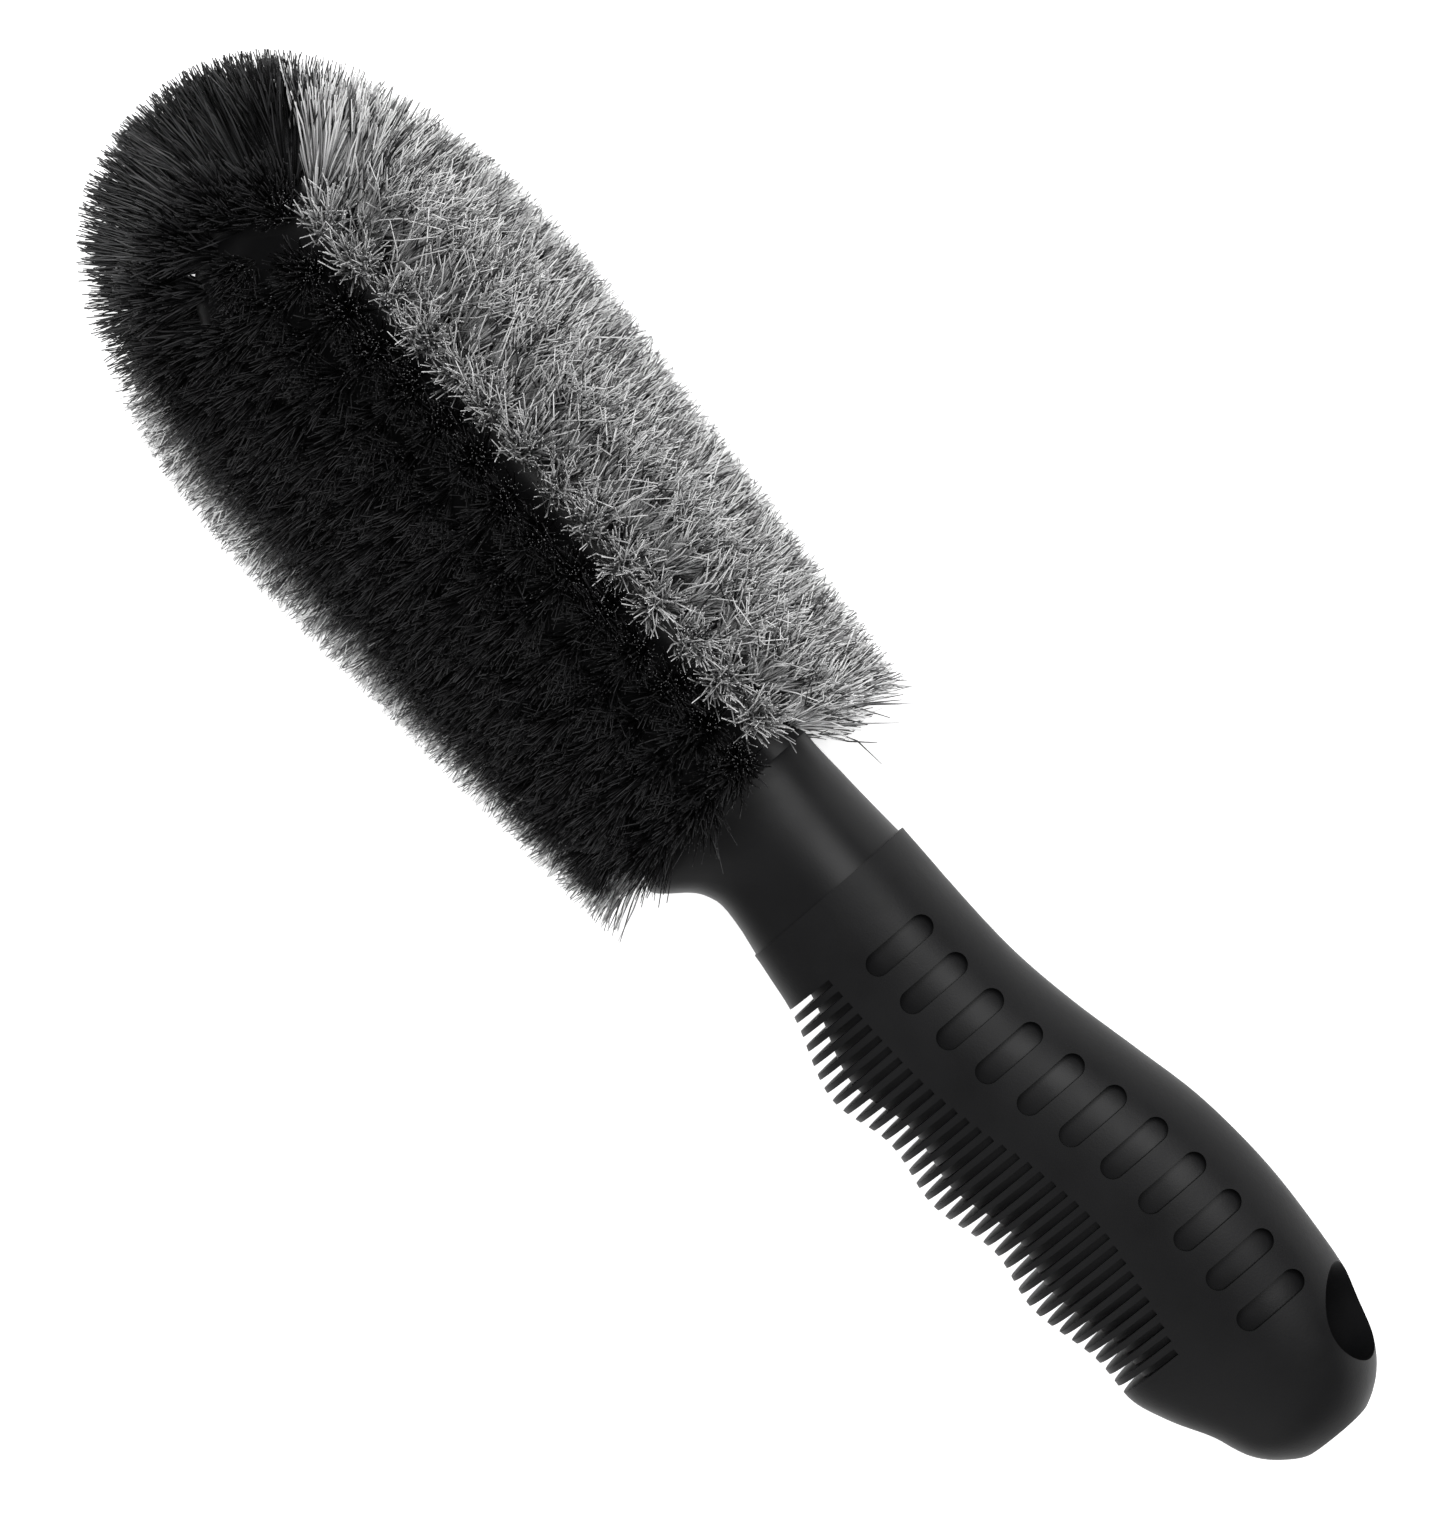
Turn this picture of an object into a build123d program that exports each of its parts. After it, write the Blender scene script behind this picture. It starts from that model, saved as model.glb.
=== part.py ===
from build123d import *
import math
import os

# Wheel brush: a hard handle with a soft ribbed grip, and a paddle-shaped head drilled all round
# for tufts of bristle. Millimetres. X runs along the brush, from the butt of the handle to the
# tip of the head. The brush lies on one wide face: Z is up, +Y is the finger side of the grip
# and -Y its thumb side. The origin is on the table, under the middle of the brush.

# Overall sizes
overall_length = 284.0
head_thickness = 48.0  # across the bristle tips of the two wide faces
head_width = 75.0  # across the bristle tips of the two edges, at the widest
heel_width = 61.0  # the same beside the neck
grip_length = 118.2
neck_length = 21.8
axis_height = head_thickness / 2

butt_x = -overall_length / 2
seam_x = butt_x + grip_length
heel_x = seam_x + neck_length
tip_x = overall_length / 2

# Hang hole
hang_radius = 7.75
hang_lining = 1.9
hang_butt_wall = 5.85  # from the hole to the butt
hang_side_wall = 4.75  # from the hole to the wide faces of the grip

# Grip sleeve: offsets of its outline from the axis, at shares of the grip's length
butt_radius = 15.8
butt_drop = -5.4  # the butt's rounding is centred this far to the thumb side
butt_bulge = 13.5  # how far the butt takes to reach its full thickness
butt_stations = (0.0, 1.2, 3.2, 6.6)  # distances from the butt, before the lines below begin
butt_flat = 1.3  # the rounding is cut off flat this much before its end
finger_line = [(0.095, 10.3), (0.15, 14.3), (0.2, 17.2), (0.225, 17.5), (0.285, 17.4), (0.39, 20.2),
               (0.482, 18.5), (0.585, 21.5), (0.685, 19.9), (0.785, 22.7), (0.905, 17.8), (1.0, 16.0)]
thumb_line = [(0.095, -21.4), (0.15, -23.6), (0.25, -25.1), (0.355, -25.6), (0.465, -24.4),
              (0.575, -21.4), (0.68, -18.3), (0.77, -16.6), (0.87, -15.9), (1.0, -15.8)]
eye_side = hang_radius + hang_side_wall
side_line = [(0.095, eye_side), (0.17, eye_side + 0.9), (0.38, 14.0), (0.64, 13.6), (0.85, 13.0),
             (1.0, 12.6)]
station_step = 4.6
fullness = 0.64  # of a section's corners: 0.55 is an ellipse, and 1 is a rectangle
sleeve_wall = 1.9
sleeve_floor = 1.2  # what is left of the wall under the grooves

# Grooves between the finger ribs
groove_count = 35
groove_pitch = 2.353
groove_width = 1.15
groove_draft = 0.5  # degrees that each wall of a groove opens by towards the finger ridge
groove_start = 27.2  # from the butt to the first groove
groove_depth = 4.6  # at the finger ridge
groove_side_depth = 1.3  # on the wide faces
field_line = [(0.21, 1.0), (0.28, -1.4), (0.35, -3.2), (0.43, -4.4), (0.54, -2.4), (0.62, 0.4),
              (0.73, 3.0), (0.91, 4.0)]

# Windows through the sleeve, on both wide faces
window_count = 11
window_pitch = 8.06
window_start = 24.0
window_width = 4.0
window_length = 13.0
window_inset = 6.2  # from the thumb side of the sleeve to the window's middle
window_tilt = 26.0
window_reach = 9.0

# Neck
neck_finger_line = [(0.0, 15.7), (0.26, 14.8), (0.48, 14.9), (0.64, 17.2), (0.78, 21.6),
                    (0.86, 23.2), (0.93, 22.0), (1.0, 20.2)]
neck_thumb_line = [(0.0, -14.9), (0.45, -14.4), (1.0, -14.2)]
neck_side_line = [(0.0, 12.3), (0.45, 11.5), (1.0, 11.2)]
neck_steps = 14

# Tang of the head block, in its socket in the core
tang_length = 36.0
tang_width = 16.0
tang_thickness = 12.0
tang_taper = 3.0  # narrower and thinner by this much at its end
tang_round = 2.5
tang_gap = 0.15
snap_length = 5.0
snap_width = 7.0
snap_height = 0.8
snap_from_end = 8.0

# Head block
block_width = 34.0
block_thickness = 20.0
block_round = 6.0
edge_bristle_length = 21.0  # from the block's nose to the tip of the head
nose_radius = block_width / 2
block_end_x = tip_x - edge_bristle_length
nose_x = block_end_x - nose_radius

# Bristle tufts
hole_radius = 1.5
hole_depth = 6.5
tuft_collar = 0.8  # a tuft stands straight out of its hole this far before it spreads
tuft_tip_radius = 3.3
tuft_pitch = 8.0
heel_margin = 3.2  # from the heel face to the first tufts
heel_lean = 6.0  # how far the first tuft of a row leans back over the heel
inner_row_y = 7.6
inner_row_lean = 17.0
corner_row_lean = 36.0
edge_row_z = 3.8
edge_row_lean = 18.0
nose_edge_count = 9
nose_edge_step = 18.0  # turn between neighbouring tufts round the nose
nose_corner_count = 6
nose_corner_step = 30.0
nose_grey_edge_count = 2  # of the nose's tufts, counted from the thumb side, that are still grey
nose_grey_corner_count = 1

# Envelope that the bristle tips are trimmed to
envelope_squareness = 2.4
envelope_nose_length = 66.0  # the tip starts to round off this far back

# Anchor wires, flat staples that hold each tuft at the bottom of its hole
anchor_thickness = 0.4
anchor_height = 1.8
anchor_bite = 0.2
anchor_lift = 0.5


def along(line, share):
    """Smooth curve through a line's points, read at one share of its length."""
    last = len(line) - 1
    index = 0
    while index < last - 1 and share > line[index + 1][0]:
        index += 1
    before, start, end, after = (line[min(max(index + step, 0), last)] for step in (-1, 0, 1, 2))
    span = end[0] - start[0]
    slope_in = (end[1] - before[1]) / (end[0] - before[0]) * span
    slope_out = (after[1] - start[1]) / (after[0] - start[0]) * span
    t = (share - start[0]) / span
    return ((2 * t**3 - 3 * t**2 + 1) * start[1] + (t**3 - 2 * t**2 + t) * slope_in
            + (3 * t**2 - 2 * t**3) * end[1] + (t**3 - t**2) * slope_out)


def section(x, finger, thumb, side):
    """Closed section across the brush at x: four quarters, each fuller than an ellipse's."""
    middle = (finger + thumb) / 2
    half = (finger - thumb) / 2
    quarters = ((1, 1), (-1, 1), (-1, -1), (1, -1))
    with BuildSketch(Plane(origin=(x, 0, axis_height), x_dir=(0, 1, 0), z_dir=(1, 0, 0))) as outline:
        with BuildLine():
            for index, (across, up) in enumerate(quarters):
                flank = [(middle + across * half, 0), (middle + across * half, up * side * fullness),
                         (middle + across * half * fullness, up * side), (middle, up * side)]
                Bezier(*(flank if index % 2 == 0 else reversed(flank)))
        make_face()
    return outline.sketch


def grip_size(distance):
    """Finger side, thumb side and half thickness of the grip, at a distance from its butt."""
    share = distance / grip_length
    if share < finger_line[0][0]:
        depth = distance + butt_flat
        half = math.sqrt(2 * butt_radius * depth - depth**2)
        side = side_line[0][1] * math.sqrt(1 - (1 - depth / butt_bulge) ** 2)
        return butt_drop + half, butt_drop - half, side
    return along(finger_line, share), along(thumb_line, share), along(side_line, share)


def grip_body(inset, finger_inset, side_inset):
    """The grip's outer shape, or the same shape set in from it, more so where it is ribbed."""
    first = finger_line[0][0] * grip_length
    steps = math.ceil((grip_length - first) / station_step)
    stations = [station for station in butt_stations if station < first]
    stations += [first + (grip_length - first) * step / steps for step in range(steps + 1)]
    with BuildPart() as body:
        for distance in stations:
            finger, thumb, side = grip_size(distance)
            ribbed = min(1, distance / groove_start)
            here_finger = inset + (finger_inset - inset) * ribbed
            here_side = inset + (side_inset - inset) * ribbed
            set_back = inset * (1 - distance / grip_length)
            add(section(butt_x + distance + set_back, finger - here_finger, thumb + inset,
                        side - here_side))
        loft()
    return body.part


def tang_body(gap):
    """The tapered tang with its two snap nubs, or the socket that takes it with a gap."""
    rear = Plane(origin=(seam_x, 0, axis_height), x_dir=(0, 1, 0), z_dir=(-1, 0, 0))
    end_thickness = tang_thickness - tang_taper
    snap_x = seam_x - tang_length + snap_from_end
    with BuildPart() as tang:
        with BuildSketch(rear):
            RectangleRounded(tang_width + 2 * gap, tang_thickness + 2 * gap, tang_round)
        with BuildSketch(rear.offset(tang_length + gap)):
            RectangleRounded(tang_width - tang_taper + 2 * gap, end_thickness + 2 * gap, tang_round)
        loft()
        with Locations((snap_x, 0, axis_height)):
            Box(snap_length + 2 * gap, snap_width + 2 * gap,
                end_thickness + 2 * (snap_height + gap) + tang_taper * snap_from_end / tang_length)
    return tang.part


# Handle core: the hard inside of the grip, with an eye round the hang hole
hang_x = butt_x + hang_butt_wall + hang_radius
hang_axis = Plane(origin=(hang_x, 0, axis_height), x_dir=(1, 0, 0), z_dir=(0, -1, 0))
hang_reach = 2 * head_width

with BuildPart() as core_blank:
    add(grip_body(sleeve_wall, groove_depth + sleeve_floor, groove_side_depth + sleeve_floor))
    with Locations(hang_axis):
        Cylinder(hang_radius + hang_lining, hang_reach, mode=Mode.SUBTRACT)

with BuildPart() as handle_core:
    add(core_blank.part)
    add(tang_body(tang_gap), mode=Mode.SUBTRACT)

# Grip sleeve: the soft skin over the core, grooved on the finger side and lining the hang hole
groove_reach = head_width / 2
half_groove = groove_width / 2
half_mouth = half_groove + groove_reach * math.tan(math.radians(groove_draft))

with BuildPart() as groove_cutter:
    with BuildSketch(Plane.XY):
        for index in range(groove_count):
            distance = groove_start + index * groove_pitch
            with Locations((butt_x + distance, along(field_line, distance / grip_length))):
                Polygon((-half_groove, 0), (half_groove, 0), (half_mouth, groove_reach),
                        (-half_mouth, groove_reach), align=None)
    extrude(amount=head_thickness)
    add(grip_body(0, groove_depth, groove_side_depth), mode=Mode.SUBTRACT)

with BuildPart() as grip_sleeve:
    add(grip_body(0, 0, 0))
    add(core_blank.part, mode=Mode.SUBTRACT)
    add(groove_cutter.part, mode=Mode.SUBTRACT)
    with Locations(hang_axis):
        Cylinder(hang_radius, hang_reach, mode=Mode.SUBTRACT)
    for index in range(window_count):
        distance = window_start + index * window_pitch
        thumb, side = grip_size(distance)[1:]
        tilt = math.radians(window_tilt)
        for face in (1, -1):
            middle = (butt_x + distance, thumb + window_inset, axis_height + face * side)
            outward = (0, -math.sin(tilt), face * math.cos(tilt))
            with BuildSketch(Plane(origin=middle, x_dir=(1, 0, 0), z_dir=outward)
                             .offset(window_reach)):
                SlotOverall(window_length, window_width, rotation=90)
            extrude(amount=-2 * window_reach, mode=Mode.SUBTRACT)

# Seats of the tufts: each is a plane on the block's surface, facing the way its tuft stands
first_x = heel_x + heel_margin
row_gaps = round((nose_x - first_x) / tuft_pitch)
row_pitch = (nose_x - first_x) / row_gaps
even_places = [first_x + index * row_pitch for index in range(row_gaps + 1)]
odd_places = [place + row_pitch / 2 for place in even_places[:-1]]
half_block = block_thickness / 2


def face_seat(x, offset, lean, face):
    """A seat on a wide face (1 is the top, -1 the bottom), leaning to the side."""
    angle = math.radians(lean)
    return Plane(origin=(x, offset, axis_height + face * half_block), x_dir=(1, 0, 0),
                 z_dir=(0, math.sin(angle), face * math.cos(angle)))


def corner_seat(centre_x, turn, face):
    """A seat on the rounded corner of the block, at a turn about a centre on its mid line."""
    angle = math.radians(corner_row_lean)
    heading = math.radians(turn)
    ahead = Vector(math.cos(heading), math.sin(heading), 0)
    reach = nose_radius - block_round + block_round * math.sin(angle)
    up = face * (half_block - block_round + block_round * math.cos(angle))
    return Plane(origin=Vector(centre_x, 0, axis_height + up) + ahead * reach,
                 x_dir=ahead.rotate(Axis.Z, 90),
                 z_dir=ahead * math.sin(angle) + Vector(0, 0, face * math.cos(angle)))


def edge_seat(centre_x, turn, level):
    """A seat on the block's edge: level 1 is the upper row, -1 the lower one, and 0 midway."""
    angle = math.radians(edge_row_lean)
    heading = math.radians(turn)
    ahead = Vector(math.cos(heading), math.sin(heading), 0)
    return Plane(origin=Vector(centre_x, 0, axis_height + level * edge_row_z) + ahead * nose_radius,
                 x_dir=ahead.rotate(Axis.Z, 90),
                 z_dir=ahead * math.cos(angle) + Vector(0, 0, level * math.sin(angle)))


def leaned_back(seat):
    """The seat of a row's first tuft, turned to lean back over the heel."""
    angle = math.radians(heel_lean)
    ahead = Vector(1, 0, 0)
    return Plane(origin=seat.origin, x_dir=ahead * math.cos(angle) + seat.z_dir * math.sin(angle),
                 z_dir=seat.z_dir * math.cos(angle) - ahead * math.sin(angle))


def nose_turns(count, step):
    """Evenly spaced turns to both sides of the tip of the nose."""
    return [(index - (count - 1) / 2) * step for index in range(count)]


def outside_envelope(point):
    """Whether a point lies outside the shape that the bristles are trimmed to."""
    share = min(1, max(0, (point.X - heel_x) / (tip_x - envelope_nose_length - heel_x)))
    half_width = (heel_width + (head_width - heel_width) * share) / 2
    nose_share = max(0, point.X - tip_x + envelope_nose_length) / envelope_nose_length
    shares = (abs(point.Y) / half_width, abs(point.Z - axis_height) / axis_height, nose_share)
    return sum(part**envelope_squareness for part in shares) > 1


def free_length(seat):
    """How far a tuft stands out of its seat before the rim of its tip meets the envelope."""
    shortest, longest = 0.0, head_width
    rim = [(tuft_tip_radius, 0), (-tuft_tip_radius, 0), (0, tuft_tip_radius), (0, -tuft_tip_radius)]
    while longest - shortest > 0.01:
        middle = (shortest + longest) / 2
        if any(outside_envelope(seat.from_local_coords(Vector(*spot, middle))) for spot in rim):
            longest = middle
        else:
            shortest = middle
    return shortest


def anchor_boxes(seats, mode=Mode.ADD):
    """The anchor wires at the bottom of the holes of these seats."""
    with Locations(*[seat.offset(anchor_lift - hole_depth) for seat in seats]):
        Box(2 * (hole_radius + anchor_bite), anchor_thickness, anchor_height,
            align=(Align.CENTER, Align.CENTER, Align.MIN), mode=mode)


def tuft_group(seats):
    """Tufts of bristle, each a round root in its hole and a bundle that spreads to its tip."""
    with BuildPart() as tufts:
        with Locations(*[seat.offset(-hole_depth) for seat in seats]):
            Cylinder(hole_radius, hole_depth + tuft_collar,
                     align=(Align.CENTER, Align.CENTER, Align.MIN))
        for seat in seats:
            with Locations(seat.offset(tuft_collar)):
                Cone(hole_radius, tuft_tip_radius, free_length(seat) - tuft_collar,
                     align=(Align.CENTER, Align.CENTER, Align.MIN))
        anchor_boxes(seats, mode=Mode.SUBTRACT)
    return tufts.part


groups = {"heel_black_tufts": []}
for face, face_name in ((1, "top"), (-1, "bottom")):
    black_rows = {"middle": [face_seat(x, 0, 0, face) for x in even_places],
                  "finger_corner": [corner_seat(x, 90, face) for x in odd_places]}
    black_rows["middle"].append(face_seat(nose_x + row_pitch, 0, 0, face))
    for side, side_name in ((-1, "thumb"), (1, "finger")):
        black_rows[side_name] = [face_seat(x, side * inner_row_y, side * inner_row_lean, face)
                                 for x in even_places]
    for row_name, (first, *others) in black_rows.items():
        groups["heel_black_tufts"].append(leaned_back(first))
        groups[f"{face_name}_{row_name}_black_tufts"] = others
    nose_seats = [corner_seat(nose_x, turn, face)
                  for turn in nose_turns(nose_corner_count, nose_corner_step)]
    first, *others = [corner_seat(x, -90, face) for x in odd_places]
    groups[f"{face_name}_thumb_corner_grey_tufts"] = [leaned_back(first), *others,
                                                      *nose_seats[:nose_grey_corner_count]]
    groups[f"{face_name}_nose_black_tufts"] = nose_seats[nose_grey_corner_count:]
for level, level_name in ((1, "upper"), (-1, "lower")):
    first, *others = [edge_seat(x, -90, level) for x in even_places]
    groups[f"thumb_edge_{level_name}_grey_tufts"] = [leaned_back(first), *others]
    # The finger flare stands right behind the finger edge, so no tuft leans back there.
    groups[f"finger_edge_{level_name}_grey_tufts"] = [edge_seat(x, 90, level) for x in even_places]
nose_seats = [edge_seat(nose_x, turn, 0) for turn in nose_turns(nose_edge_count, nose_edge_step)]
groups["nose_edge_grey_tufts"] = nose_seats[:nose_grey_edge_count]
groups["nose_edge_black_tufts"] = nose_seats[nose_grey_edge_count:]
all_seats = [seat for seats in groups.values() for seat in seats]

# Head block: the neck, the paddle that is drilled for the tufts, and the tang
with BuildPart() as paddle:
    with BuildSketch(Plane.XY.offset(axis_height - half_block)):
        with Locations((heel_x, 0)):
            Rectangle(nose_x - heel_x, block_width, align=(Align.MIN, Align.CENTER))
        with Locations((nose_x, 0)):
            Circle(nose_radius)
    extrude(amount=block_thickness)
    rims = paddle.edges().filter_by(Plane.XY).group_by(Axis.X)[1:]
    fillet([edge for group in rims for edge in group], block_round)

with BuildPart() as head_block:
    for step in range(neck_steps + 1):
        share = step / neck_steps
        add(section(seam_x + neck_length * share, along(neck_finger_line, share),
                    along(neck_thumb_line, share), along(neck_side_line, share)))
    loft()
    add(paddle.part)
    add(tang_body(0))
    with Locations(*[seat.offset(-hole_depth) for seat in all_seats]):
        Cylinder(hole_radius, 2 * hole_depth, mode=Mode.SUBTRACT,
                 align=(Align.CENTER, Align.CENTER, Align.MIN))
    anchor_boxes(all_seats, mode=Mode.SUBTRACT)

# Anchor wires, grouped by the side of the block that they are driven into
anchor_groups = {}
for name, seats in groups.items():
    where = name.split("_")[0]
    anchor_groups.setdefault(f"{where}_anchor_wires", []).extend(seats)

os.makedirs("parts", exist_ok=True)


def write(name, part):
    """Label one node and write its STEP file."""
    part.label = name
    export_step(part, f"parts/{name}.step")


write("handle_core", handle_core.part)
write("grip_sleeve", grip_sleeve.part)
write("head_block", head_block.part)
for name, seats in groups.items():
    write(name, tuft_group(seats))
for name, seats in anchor_groups.items():
    with BuildPart() as anchors:
        anchor_boxes(seats)
    write(name, anchors.part)
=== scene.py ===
"""Looks of a wheel brush: soft ribbed grip, hard neck, and a head of black and grey bristle."""

import enum
import logging
import math
from dataclasses import dataclass, field

import bmesh
import bpy
import numpy as np
from mathutils import Matrix, Vector


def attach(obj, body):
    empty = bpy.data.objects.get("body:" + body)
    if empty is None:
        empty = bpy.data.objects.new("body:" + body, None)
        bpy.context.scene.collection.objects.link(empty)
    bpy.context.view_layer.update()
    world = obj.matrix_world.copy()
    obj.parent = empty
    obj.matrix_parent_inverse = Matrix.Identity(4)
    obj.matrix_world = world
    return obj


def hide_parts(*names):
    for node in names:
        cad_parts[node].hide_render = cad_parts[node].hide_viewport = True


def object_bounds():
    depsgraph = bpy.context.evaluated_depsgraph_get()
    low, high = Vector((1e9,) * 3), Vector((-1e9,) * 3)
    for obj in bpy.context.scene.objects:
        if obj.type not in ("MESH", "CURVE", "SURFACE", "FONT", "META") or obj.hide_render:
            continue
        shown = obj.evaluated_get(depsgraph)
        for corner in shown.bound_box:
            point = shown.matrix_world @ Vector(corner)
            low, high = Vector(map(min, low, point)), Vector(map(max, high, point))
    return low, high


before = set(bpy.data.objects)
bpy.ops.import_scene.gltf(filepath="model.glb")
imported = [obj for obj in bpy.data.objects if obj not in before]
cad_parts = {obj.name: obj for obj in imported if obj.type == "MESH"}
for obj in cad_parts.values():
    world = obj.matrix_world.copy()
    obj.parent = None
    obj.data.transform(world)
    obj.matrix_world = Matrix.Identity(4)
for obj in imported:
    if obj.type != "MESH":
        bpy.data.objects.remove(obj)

MM = 0.001
ROOT_BODY = "root"
STRAND_MAP = "OFBake"
STRAND_BANDS = 48
MOTTLE_SPAN = (0.3, 0.7)

CAD_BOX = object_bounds()
log = logging.getLogger("wheel_brush")


def linear(colour: str) -> tuple[float, float, float, float]:
    """Turn an sRGB hex colour into linear values.

    Args:
        colour: Six hex digits, such as "1c1c1e".

    Returns:
        Red, green, blue and an alpha of 1.
    """
    shares = [int(colour[i:i + 2], 16) / 255 for i in (0, 2, 4)]
    straight = [s / 12.92 if s <= 0.04045 else ((s + 0.055) / 1.055) ** 2.4 for s in shares]
    return (*straight, 1.0)


def add_node(
    tree: bpy.types.NodeTree,
    kind: str,
    settings: dict[str, object] | None = None,
    values: dict[str, object] | None = None,
    links: dict[str, bpy.types.NodeSocket] | None = None,
) -> bpy.types.Node:
    """Add one node to a material, set it and link what feeds it.

    Args:
        tree: The material's node tree.
        kind: The node's type, such as "ShaderNodeTexNoise".
        settings: The node's own properties.
        values: Input sockets by name, with their constant values.
        links: Input sockets by name, with the output sockets that feed them.

    Returns:
        The new node.
    """
    node = tree.nodes.new(kind)
    for name, value in (settings or {}).items():
        setattr(node, name, value)
    for name, value in (values or {}).items():
        node.inputs[name].default_value = value
    for name, source in (links or {}).items():
        tree.links.new(source, node.inputs[name])
    return node


def fill_ramp(node: bpy.types.Node, stops: list[tuple[float, tuple]]) -> None:
    """Set the stops of a colour ramp.

    Args:
        node: A ShaderNodeValToRGB node.
        stops: Places from 0 to 1, each with its linear colour.
    """
    ramp = node.color_ramp
    while len(ramp.elements) < len(stops):
        ramp.elements.new(0.5)
    for element, (place, colour) in zip(ramp.elements, stops):
        element.position = place
        element.color = colour


def empty_material(name: str) -> tuple[bpy.types.Material, bpy.types.Node]:
    """Make a material that holds only a Principled shader.

    Args:
        name: The material's name.

    Returns:
        The material and its shader node.
    """
    material = bpy.data.materials.new(name)
    material.use_nodes = True
    material.node_tree.nodes.clear()
    shader = add_node(material.node_tree, "ShaderNodeBsdfPrincipled")
    add_node(material.node_tree, "ShaderNodeOutputMaterial", links={"Surface": shader.outputs[0]})
    return material, shader


@dataclass(frozen=True)
class MouldedFinish:
    """A black moulded polymer with the fine grain of its spark-eroded mould."""

    name: str
    dark: str
    light: str
    roughness: tuple[float, float]
    grain_mm: float
    grain_depth_mm: float
    mottle_mm: float
    specular: float

    def make(self) -> bpy.types.Material:
        """Build the material on Object coordinates and return it."""
        material, shader = empty_material(self.name)
        tree = material.node_tree
        where = add_node(tree, "ShaderNodeTexCoord").outputs["Object"]
        mottle = add_node(
            tree, "ShaderNodeTexNoise",
            values={"Scale": 1 / (self.mottle_mm * MM), "Detail": 3.0, "Roughness": 0.55},
            links={"Vector": where},
        )
        tone = add_node(tree, "ShaderNodeValToRGB", links={"Fac": mottle.outputs["Fac"]})
        low, high = MOTTLE_SPAN
        fill_ramp(tone, [(low, linear(self.dark)), (high, linear(self.light))])
        gloss = add_node(
            tree, "ShaderNodeMapRange",
            values={"From Min": low, "From Max": high,
                    "To Min": self.roughness[0], "To Max": self.roughness[1]},
            links={"Value": mottle.outputs["Fac"]},
        )
        grain = add_node(
            tree, "ShaderNodeTexNoise",
            values={"Scale": 1 / (self.grain_mm * MM), "Detail": 2.0, "Roughness": 0.6},
            links={"Vector": where},
        )
        bump = add_node(
            tree, "ShaderNodeBump",
            values={"Strength": 1.0, "Distance": self.grain_depth_mm * MM},
            links={"Height": grain.outputs["Fac"]},
        )
        tree.links.new(tone.outputs["Color"], shader.inputs["Base Color"])
        tree.links.new(gloss.outputs["Result"], shader.inputs["Roughness"])
        tree.links.new(bump.outputs["Normal"], shader.inputs["Normal"])
        shader.inputs["Specular IOR Level"].default_value = self.specular
        return material


# Thermoplastic rubber moulded over the core: a soft, even satin that spreads its highlight wide.
GRIP_RUBBER = MouldedFinish(
    "thermoplastic_rubber_grip", dark="0c0c0d", light="121213", roughness=(0.44, 0.56),
    grain_mm=0.45, grain_depth_mm=0.02, mottle_mm=14.0, specular=0.14,
)
# Polypropylene from a fine-grained mould: the same black, a little tighter in its highlight.
HARD_PLASTIC = MouldedFinish(
    "polypropylene_moulded", dark="0c0c0d", light="121213", roughness=(0.40, 0.50),
    grain_mm=0.35, grain_depth_mm=0.012, mottle_mm=18.0, specular=0.16,
)


@dataclass(frozen=True)
class WireFinish:
    """Flattened brass-plated steel wire, with the fine marks of the rolls that flattened it."""

    name: str = "anchor_wire_flattened"
    bright: str = "b9a67c"
    dull: str = "7d7052"
    mark_mm: float = 0.2
    roughness: float = 0.35

    def make(self) -> bpy.types.Material:
        """Build the material and return it."""
        material, shader = empty_material(self.name)
        tree = material.node_tree
        where = add_node(tree, "ShaderNodeTexCoord").outputs["Object"]
        marks = add_node(tree, "ShaderNodeTexNoise",
                         values={"Scale": 1 / (self.mark_mm * MM), "Detail": 2.0},
                         links={"Vector": where})
        tone = add_node(tree, "ShaderNodeValToRGB", links={"Fac": marks.outputs["Fac"]})
        low, high = MOTTLE_SPAN
        fill_ramp(tone, [(low, linear(self.dull)), (high, linear(self.bright))])
        tree.links.new(tone.outputs["Color"], shader.inputs["Base Color"])
        shader.inputs["Metallic"].default_value = 1.0
        shader.inputs["Roughness"].default_value = self.roughness
        return material


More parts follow.
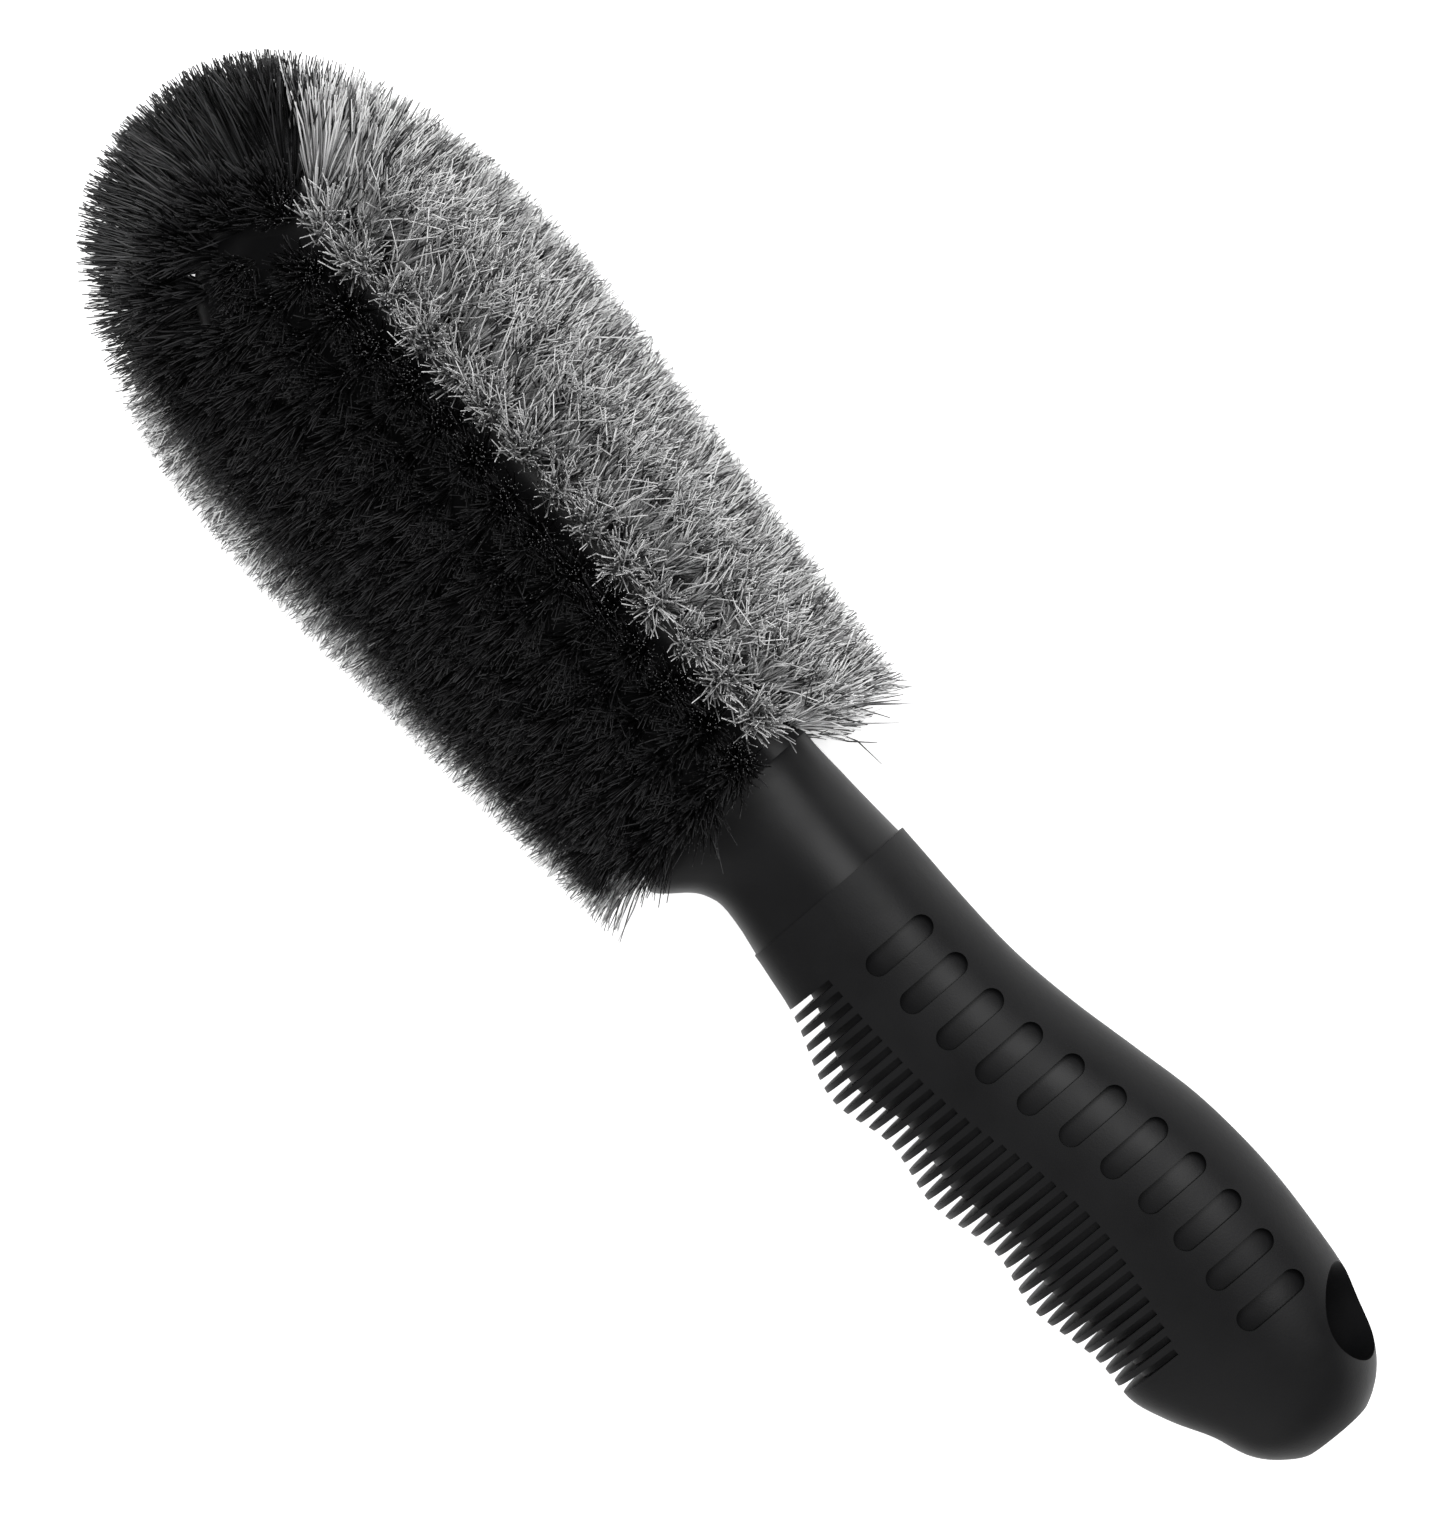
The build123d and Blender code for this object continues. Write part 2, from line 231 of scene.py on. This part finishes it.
@dataclass(frozen=True)
class BristleFinish:
    """Drawn nylon filament. Its map runs root to tip, and across it lie bands of strands. Painted
    shade darkens the root inside the tuft, a painted highlight lightens the upper part and tip, and
    a random share of bands gets a painted glint towards the tip.
    """

    name: str
    root: str
    shaft: str
    upper_highlight: str
    tip: str
    tip_glint: str
    roughness: float
    ior: float = 1.53

    def make(self) -> bpy.types.Material:
        """Build the material on the strands' own map and return it."""
        material, shader = empty_material(self.name)
        tree = material.node_tree
        place = add_node(tree, "ShaderNodeUVMap", {"uv_map": STRAND_MAP}).outputs["UV"]
        parts = add_node(tree, "ShaderNodeSeparateXYZ", links={"Vector": place})
        # Root to tip ramp: the dark root is painted shade inside the tuft, and the lighter upper
        # part and tip are a painted highlight.
        length = add_node(tree, "ShaderNodeValToRGB", links={"Fac": parts.outputs["X"]})
        fill_ramp(length, [(0.05, linear(self.root)), (0.5, linear(self.shaft)),
                           (0.85, linear(self.upper_highlight)), (1.0, linear(self.tip))])
        # A random share of strands is mixed to a paler colour, more strongly towards the tip:
        # painted glints where the tips catch the light.
        band = add_node(tree, "ShaderNodeMath", {"operation": "MULTIPLY"},
                        links={0: parts.outputs["Y"]}, values={1: float(STRAND_BANDS)})
        step = add_node(tree, "ShaderNodeMath", {"operation": "FLOOR"}, links={0: band.outputs[0]})
        chance = add_node(tree, "ShaderNodeTexWhiteNoise", {"noise_dimensions": "1D"},
                          links={"W": step.outputs[0]})
        share = add_node(tree, "ShaderNodeMath", {"operation": "MULTIPLY"},
                         links={0: chance.outputs["Value"], 1: parts.outputs["X"]})
        pale = add_node(tree, "ShaderNodeMix", {"data_type": "RGBA", "blend_type": "MIX"},
                        links={"Factor": share.outputs[0]})
        tree.links.new(length.outputs["Color"], pale.inputs["A"])
        pale.inputs["B"].default_value = linear(self.tip_glint)
        tree.links.new(pale.outputs["Result"], shader.inputs["Base Color"])
        shader.inputs["Roughness"].default_value = self.roughness
        shader.inputs["IOR"].default_value = self.ior
        return material


class BristleColour(enum.Enum):
    """The colours that the tufts come in, each with its filament's finish."""

    # Black filament: near black down its length; the darkest root is painted shade inside the tuft,
    # and the greyer cut end and the paler share of strands are painted glints where the tips catch
    # the light.
    BLACK = BristleFinish(
        "bristle_filament_black", root="040404", shaft="0e0e0f", upper_highlight="171718", tip="3e3e3f",
        tip_glint="3a3a3b", roughness=0.27,
    )
    # Grey filament: mid grey along its shaft, a little glassy; painted shade darkens the root inside
    # the tuft, and a painted highlight turns the upper part and the cut end near white.
    GREY = BristleFinish(
        "bristle_filament_grey", root="1c1c1d", shaft="858586", upper_highlight="d2d2d3", tip="fdfdfd",
        tip_glint="f6f6f6", roughness=0.40,
    )

    @classmethod
    def of_node(cls, node: str) -> "BristleColour":
        """Read the colour of a row of tufts from its CAD node's name.

        Args:
            node: The CAD node.

        Returns:
            The colour.
        """
        return cls.GREY if "grey" in node else cls.BLACK


@dataclass(frozen=True)
class Tuft:
    """One bundle in its drilled hole: where it leaves the block, and which way."""

    seat: Vector
    heading: Vector


@dataclass(frozen=True)
class TrimEnvelope:
    """The rounded outline that the tips of all the bristles are sheared to. Sizes in mm."""

    squareness: float = 2.4
    heel_width: float = 61.0
    head_width: float = 75.0
    thickness: float = 48.0
    nose_length: float = 66.0
    heel_x: float = -2.0
    tip_x: float = 142.0
    halvings: int = 14

    def outside(self, points: np.ndarray) -> np.ndarray:
        """Tell which points lie outside.

        Args:
            points: Positions in mm, one row each.

        Returns:
            True for each point that is outside.
        """
        x, y, z = points.T
        widening = np.clip((x - self.heel_x) / (self.tip_x - self.nose_length - self.heel_x), 0, 1)
        half_width = (self.heel_width + (self.head_width - self.heel_width) * widening) / 2
        nose = np.maximum(0, x - self.tip_x + self.nose_length) / self.nose_length
        half = self.thickness / 2
        shares = (abs(y) / half_width, abs(z - half) / half, nose)
        return sum(share ** self.squareness for share in shares) > 1

    def reach(self, starts: np.ndarray, headings: np.ndarray) -> np.ndarray:
        """Find how far each strand runs before it meets the outline.

        Args:
            starts: Where the strands start, in mm.
            headings: Unit directions.

        Returns:
            One length per strand, in mm.
        """
        low = np.zeros(len(starts))
        high = np.full(len(starts), self.head_width)
        for _ in range(self.halvings):
            middle = (low + high) / 2
            out = self.outside(starts + headings * middle[:, None])
            high = np.where(out, middle, high)
            low = np.where(out, low, middle)
        return low


@dataclass(frozen=True)
class Growth:
    """How the strands of a kind of row stand: how many a tuft has, how wide and how untidy."""

    strands: int
    strand_mm: float
    splay: float
    stray: float
    bend: float
    ragged_mm: float
    wisps: int


class RowKind(enum.Enum):
    """The kinds of row, each with its own growth."""

    # Upright on the wide faces, and standing close.
    FACE = Growth(strands=300, strand_mm=0.28, splay=0.30, stray=0.07, bend=0.12,
                  ragged_mm=0.6, wisps=40)
    # Sparser on the rounded corners, so that the roots show between them.
    CORNER = Growth(strands=210, strand_mm=0.30, splay=0.24, stray=0.10, bend=0.20,
                    ragged_mm=1.0, wisps=24)
    # Longer and freer along the edges, crossing one another.
    EDGE = Growth(strands=330, strand_mm=0.30, splay=0.26, stray=0.12, bend=0.26,
                  ragged_mm=1.1, wisps=40)
    # A wide fan round the tip.
    NOSE = Growth(strands=380, strand_mm=0.34, splay=0.36, stray=0.07, bend=0.14,
                  ragged_mm=1.3, wisps=24)

    @classmethod
    def of_node(cls, node: str) -> "RowKind":
        """Read the kind of a row of tufts from its CAD node's name.

        Args:
            node: The CAD node.

        Returns:
            The kind.
        """
        if "nose" in node:
            return cls.NOSE
        if "edge" in node:
            return cls.EDGE
        return cls.CORNER if "corner_grey" in node else cls.FACE


@dataclass
class BristleRow:
    """The strands of one row of tufts, grown from the bundles that its CAD node holds."""

    node: str
    envelope: TrimEnvelope
    seed: int
    weld_m: float = 1e-6
    rim_mm: float = 0.05
    end_mm: float = 0.5
    bundle_mm: float = 1.35
    tuft_tilt: float = 0.04
    rings: int = 4
    sides: int = 3
    tip_share: float = 0.55
    hole_depth_mm: float = 6.5
    sunk_mm: float = 1.0
    longest_over_mm: float = 1.6
    band_inset: float = 0.15

    def tufts(self) -> list[Tuft]:
        """Read where each bundle of the CAD node stands and return them all."""
        mesh = bmesh.new()
        mesh.from_mesh(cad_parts[self.node].data)
        bmesh.ops.remove_doubles(mesh, verts=mesh.verts, dist=self.weld_m)
        found, seen = [], set()
        for first in mesh.verts:
            if first in seen:
                continue
            seen.add(first)
            group, todo = [], [first]
            while todo:
                vertex = todo.pop()
                group.append(tuple(vertex.co))
                for edge in vertex.link_edges:
                    other = edge.other_vert(vertex)
                    if other not in seen:
                        seen.add(other)
                        todo.append(other)
            found.append(self.measure(np.array(group)))
        mesh.free()
        return found

    def measure(self, points: np.ndarray) -> Tuft:
        """Turn one bundle's vertices into its seat and heading.

        Args:
            points: The bundle's vertices, in metres.

        Returns:
            The tuft, in millimetres.
        """
        points = points / MM
        centre = points.mean(0)
        axis = np.linalg.svd(points - centre)[2][0]
        along = (points - centre) @ axis
        away = np.linalg.norm(points - centre - along[:, None] * axis, axis=1)
        near_top = along > along.max() - self.end_mm
        near_bottom = along < along.min() + self.end_mm
        if away[near_top].max() < away[near_bottom].max():
            along = -along
        tip_rim = points[along > along.max() - self.rim_mm]
        root_rim = points[along < along.min() + self.rim_mm]
        tip, root = (tip_rim.min(0) + tip_rim.max(0)) / 2, (root_rim.min(0) + root_rim.max(0)) / 2
        heading = Vector(tip - root).normalized()
        return Tuft(Vector(root) + heading * self.hole_depth_mm, heading)

    def grow(self, tuft: Tuft, chance: np.random.Generator) -> np.ndarray:
        """Grow the strands of one tuft.

        Args:
            tuft: The bundle that they leave.
            chance: The row's own source of random numbers.

        Returns:
            Ring centres, shaped strands by rings by 3, in mm.
        """
        growth = RowKind.of_node(self.node).value
        count = growth.strands
        ahead = np.array(tuft.heading) + chance.normal(0, self.tuft_tilt, 3)
        side = np.array(tuft.heading.orthogonal().normalized())
        up = np.cross(ahead, side)
        turn = chance.uniform(0, 2 * math.pi, count)
        out = np.sqrt(chance.uniform(0, 1, count))
        across = np.cos(turn)[:, None] * side + np.sin(turn)[:, None] * up
        start = np.array(tuft.seat) + across * (out * self.bundle_mm)[:, None] - ahead * self.sunk_mm
        wisp = chance.integers(0, growth.wisps, count)
        gather = chance.normal(0, growth.stray, (growth.wisps, 3))[wisp]
        lean = across * (out * growth.splay)[:, None] + gather
        lean += chance.normal(0, growth.stray / 2, (count, 3))
        heading = ahead + lean
        heading /= np.linalg.norm(heading, axis=1)[:, None]
        length = self.envelope.reach(start, heading)
        length += np.minimum(chance.normal(0, growth.ragged_mm, count), self.longest_over_mm)
        droop = chance.normal(0, growth.bend, (count, 3)) + across * (out * growth.bend)[:, None]
        droop -= heading * (droop * heading).sum(1)[:, None]
        rings = np.empty((count, self.rings, 3))
        for ring in range(self.rings):
            share = ring / (self.rings - 1)
            bow = share * (share - 1) * length
            rings[:, ring] = start + heading * (length * share)[:, None] + droop * bow[:, None]
        # No strand dips below the surface that the brush lies on.
        rings[..., 2] = np.maximum(rings[..., 2], growth.strand_mm / 2)
        return rings

    def profile(self) -> bpy.types.Object:
        """Make the strands' cross section, a small closed polygon, and return it."""
        curve = bpy.data.curves.new("strand_section", "CURVE")
        spline = curve.splines.new("POLY")
        spline.points.add(self.sides - 1)
        spline.use_cyclic_u = True
        radius = RowKind.of_node(self.node).value.strand_mm / 2 * MM
        for index, point in enumerate(spline.points):
            turn = 2 * math.pi * index / self.sides
            point.co = (radius * math.cos(turn), radius * math.sin(turn), 0, 1)
        return bpy.data.objects.new("strand_section", curve)

    def build(self) -> bpy.types.Object:
        """Make the row's strands as one mesh that stands for the CAD node and return it."""
        chance = np.random.default_rng(self.seed)
        rings = np.concatenate([self.grow(tuft, chance) for tuft in self.tufts()]) * MM
        section = self.profile()
        curve = bpy.data.curves.new(f"{self.node}_paths", "CURVE")
        curve.dimensions = "3D"
        curve.bevel_mode = "OBJECT"
        curve.bevel_object = section
        curve.use_fill_caps = True
        tail = np.ones(self.rings)
        tail[-1] = self.tip_share
        for strand in rings:
            spline = curve.splines.new("POLY")
            spline.points.add(self.rings - 1)
            spline.points.foreach_set("co", np.c_[strand, np.ones(self.rings)].ravel())
            spline.points.foreach_set("radius", tail)
        carrier = bpy.data.objects.new(f"{self.node}_paths", curve)
        for helper in (section, carrier):
            bpy.context.scene.collection.objects.link(helper)
        graph = bpy.context.evaluated_depsgraph_get()
        mesh = bpy.data.meshes.new_from_object(carrier.evaluated_get(graph), depsgraph=graph)
        bpy.data.objects.remove(carrier)
        bpy.data.objects.remove(section)
        bpy.data.curves.remove(curve)
        piece = bpy.data.objects.new(f"{self.node}_strands", mesh)
        mesh.name = piece.name
        bpy.context.scene.collection.objects.link(piece)
        self.lay_map(mesh, len(rings), chance)
        colour = BristleColour.of_node(self.node)
        mesh.materials.clear()
        mesh.materials.append(BRISTLE_MATERIALS[colour])
        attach(piece, ROOT_BODY)
        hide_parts(self.node)
        return piece

    def lay_map(self, mesh: bpy.types.Mesh, count: int, chance: np.random.Generator) -> None:
        """Give the strands a map, root to tip along it and one of its bands for each strand.

        Args:
            mesh: The strands.
            count: How many strands it holds.
            chance: The row's own source of random numbers.
        """
        per_strand = len(mesh.vertices) // count
        per_ring = per_strand // self.rings
        band = chance.integers(0, STRAND_BANDS, count)
        corner = np.empty(len(mesh.loops), np.int32)
        mesh.loops.foreach_get("vertex_index", corner)
        strand, within = corner // per_strand, corner % per_strand
        ring, spoke = within // per_ring, within % per_ring
        along = ring / (self.rings - 1)
        inside = self.band_inset + (1 - 2 * self.band_inset) * (spoke % 2)
        places = np.c_[along, (band[strand] + inside) / STRAND_BANDS]
        layer = mesh.uv_layers.get(STRAND_MAP) or mesh.uv_layers.new(name=STRAND_MAP)
        layer.uv.foreach_set("vector", places.astype(np.float32).ravel())


@dataclass
class Head:
    """All the bristle of the head, row by row."""

    envelope: TrimEnvelope = field(default_factory=TrimEnvelope)

    def build(self) -> None:
        """Grow every row of tufts that the frame holds."""
        rows = sorted(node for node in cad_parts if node.endswith("_tufts"))
        for seed, node in enumerate(rows):
            piece = BristleRow(node, self.envelope, seed).build()
            log.info("%s: %d faces", piece.name, len(piece.data.polygons))


@dataclass
class Handle:
    """The moulded pieces: grip sleeve, core, and head block with its neck."""

    finishes: dict[str, MouldedFinish] = field(default_factory=lambda: {
        "grip_sleeve": GRIP_RUBBER, "handle_core": HARD_PLASTIC, "head_block": HARD_PLASTIC})

    def build(self) -> None:
        """Dress the CAD nodes of the handle, and the anchor wires inside the head."""
        made = {finish.name: finish.make() for finish in set(self.finishes.values())}
        for node, finish in self.finishes.items():
            self.dress(node, made[finish.name])
        wire = WireFinish().make()
        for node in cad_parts:
            if node.endswith("_anchor_wires"):
                self.dress(node, wire)

    def dress(self, node: str, material: bpy.types.Material) -> None:
        """Put a material on every slot of a CAD node.

        Args:
            node: The CAD node.
            material: What it wears.
        """
        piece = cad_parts[node]
        for slot in piece.material_slots:
            slot.material = material
        log.info("%s wears %s", node, material.name)


@dataclass
class Studio:
    """Pale floor, soft lights and the camera."""

    elevation: float = 63.0
    roll: float = -131.0
    distance_m: float = 1.3
    frame_height_mm: float = 246.0
    across_mm: float = -1.5
    up_mm: float = 1.75
    floor_glow: float = 0.62
    sky: float = 0.3
    key_watts: float = 10.0
    key_place: Vector = field(default_factory=lambda: Vector((0.1, -0.55, 0.75)))
    key_size_m: float = 0.6
    fill_watts: float = 3.0
    fill_place: Vector = field(default_factory=lambda: Vector((-0.5, 0.6, 0.7)))
    fill_size_m: float = 0.8
    floor_half_m: float = 4.0
    floor_drop_m: float = 0.0005
    sensor_mm: float = 36.0
    clip_m: tuple[float, float] = (0.01, 20.0)

    def build(self) -> None:
        """Set up everything that isn't the object."""
        bpy.context.scene.view_settings.view_transform = "Standard"
        self.floor()
        self.lights()
        self.camera()

    def floor(self) -> None:
        """Lay a pale matt floor that reaches far past the view."""
        mesh = bmesh.new()
        bmesh.ops.create_grid(mesh, x_segments=1, y_segments=1, size=self.floor_half_m)
        data = bpy.data.meshes.new("floor")
        mesh.to_mesh(data)
        mesh.free()
        floor = bpy.data.objects.new("floor", data)
        floor.location.z = -self.floor_drop_m
        bpy.context.scene.collection.objects.link(floor)
        material, shader = empty_material("floor_paper")
        shader.inputs["Base Color"].default_value = linear("f7f7f7")
        shader.inputs["Roughness"].default_value = 0.9
        shader.inputs["Emission Color"].default_value = linear("ffffff")
        shader.inputs["Emission Strength"].default_value = self.floor_glow
        data.materials.append(material)

    def lights(self) -> None:
        """Hang one large key, one fill and an even sky."""
        world = bpy.data.worlds.new("studio")
        world.use_nodes = True
        world.node_tree.nodes["Background"].inputs["Color"].default_value = (1, 1, 1, 1)
        world.node_tree.nodes["Background"].inputs["Strength"].default_value = self.sky
        bpy.context.scene.world = world
        self.lamp("key", self.key_place, self.key_size_m, self.key_watts)
        self.lamp("fill", self.fill_place, self.fill_size_m, self.fill_watts)

    def lamp(self, name: str, place: Vector, size: float, power: float) -> None:
        """Hang one square lamp that faces the brush.

        Args:
            name: The lamp's name.
            place: Where it hangs, in metres.
            size: Its side, in metres.
            power: Its power, in watts.
        """
        data = bpy.data.lights.new(name, "AREA")
        data.size = size
        data.energy = power
        lamp = bpy.data.objects.new(name, data)
        lamp.location = place
        lamp.rotation_euler = (-place).to_track_quat("-Z", "Y").to_euler()
        bpy.context.scene.collection.objects.link(lamp)

    def camera(self) -> None:
        """Place the camera over the wide face, tipped towards the thumb edge."""
        low, high = CAD_BOX
        centre = (low + high) / 2
        rise = math.radians(self.elevation)
        back = Vector((0, -math.cos(rise), math.sin(rise)))
        turn = Matrix.Rotation(math.radians(self.roll), 3, back)
        right, up = turn @ Vector((1, 0, 0)), turn @ Vector((0, math.sin(rise), math.cos(rise)))
        data = bpy.data.cameras.new("camera")
        data.sensor_width = self.sensor_mm
        data.lens = data.sensor_width * self.distance_m / (self.frame_height_mm * MM)
        camera = bpy.data.objects.new("camera", data)
        place = centre + back * self.distance_m + (right * self.across_mm + up * self.up_mm) * MM
        axes = Matrix((right, up, back)).transposed().to_4x4()
        camera.matrix_world = Matrix.Translation(place) @ axes
        data.clip_start, data.clip_end = self.clip_m
        bpy.context.scene.collection.objects.link(camera)
        bpy.context.scene.camera = camera


BRISTLE_MATERIALS = {colour: colour.value.make() for colour in BristleColour}


def main() -> None:
    """Build the brush round its frame and light it."""
    logging.basicConfig(level=logging.INFO, format="%(message)s")
    Handle().build()
    Head().build()
    Studio().build()


if __name__ == "__main__":
    main()
